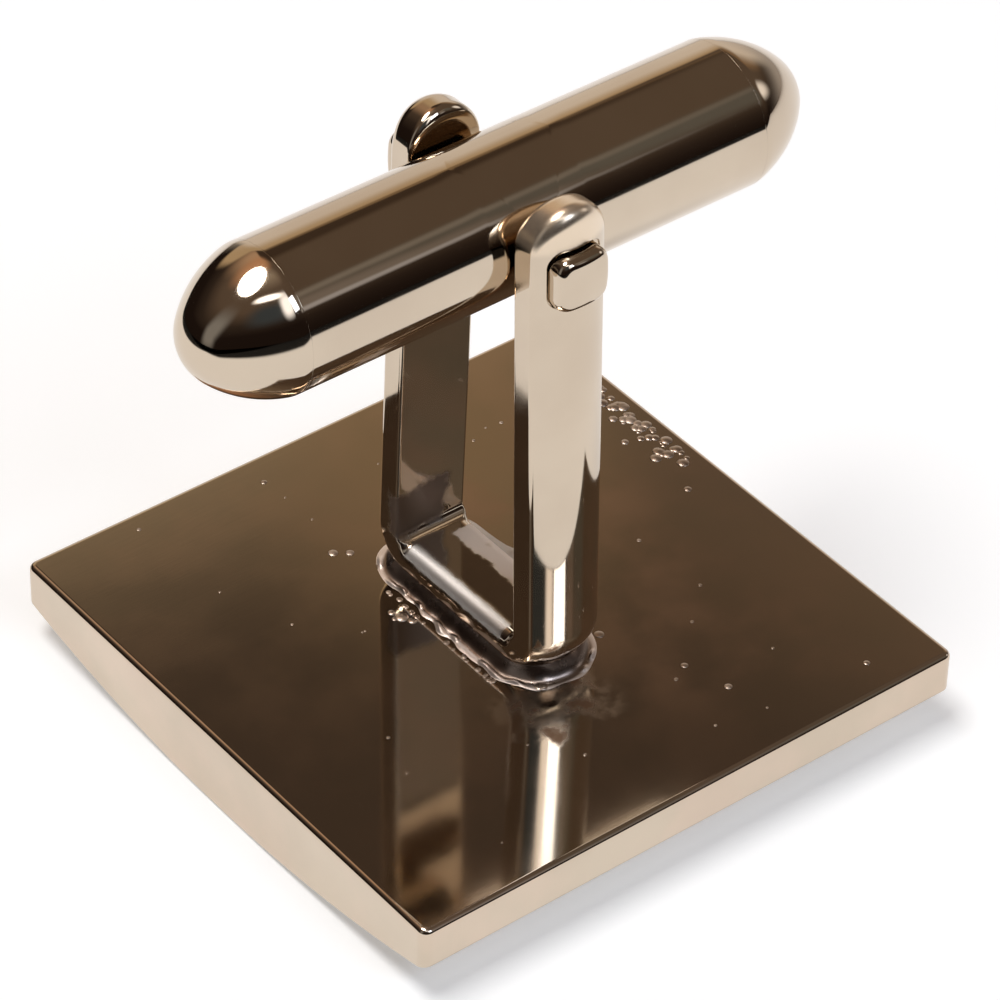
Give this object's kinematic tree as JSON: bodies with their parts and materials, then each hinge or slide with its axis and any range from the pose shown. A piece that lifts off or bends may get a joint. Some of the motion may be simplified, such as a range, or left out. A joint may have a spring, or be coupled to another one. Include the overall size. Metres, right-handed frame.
{
  "type": "cufflink",
  "caption": "Square plate cufflink with a domed front and a bullet-shaped swivel toggle on a bent stirrup frame, all in polished metal.",
  "frame": {"origin": "middle of the plate's footprint, on the lowest line of the domed front", "axes": "+X along the closed toggle, +Y along the pivot pin, +Z from the front face towards the toggle"},
  "size_m": [0.0194, 0.018, 0.0178],
  "materials": {
    "plate_metal": "polished warm nickel plate",
    "frame_metal": "polished warm nickel plate",
    "pin_metal": "polished, staked ends",
    "toggle_metal": "polished warm nickel plate",
    "solder": "lumpy plated solder, half dull",
    "spring_steel": "drawn spring strip"
  },
  "bodies": {
    "base": {"face_plate": "plate_metal", "solder_fillet": "solder", "post_frame": "frame_metal", "pivot_pin": "pin_metal"},
    "toggle": {"toggle_barrel": "toggle_metal", "toggle_cap_left": "toggle_metal", "toggle_cap_right": "toggle_metal", "leaf_spring_upper": "spring_steel", "leaf_spring_lower": "spring_steel"}
  },
  "joints": [
    {"name": "toggle_pivot", "type": "hinge", "parent": "base", "child": "toggle", "pos_m": [0, 0, 0.0157], "axis": [0, 1, 0], "continuous": true, "deforming": ["leaf_spring_upper", "leaf_spring_lower"]}
  ]
}
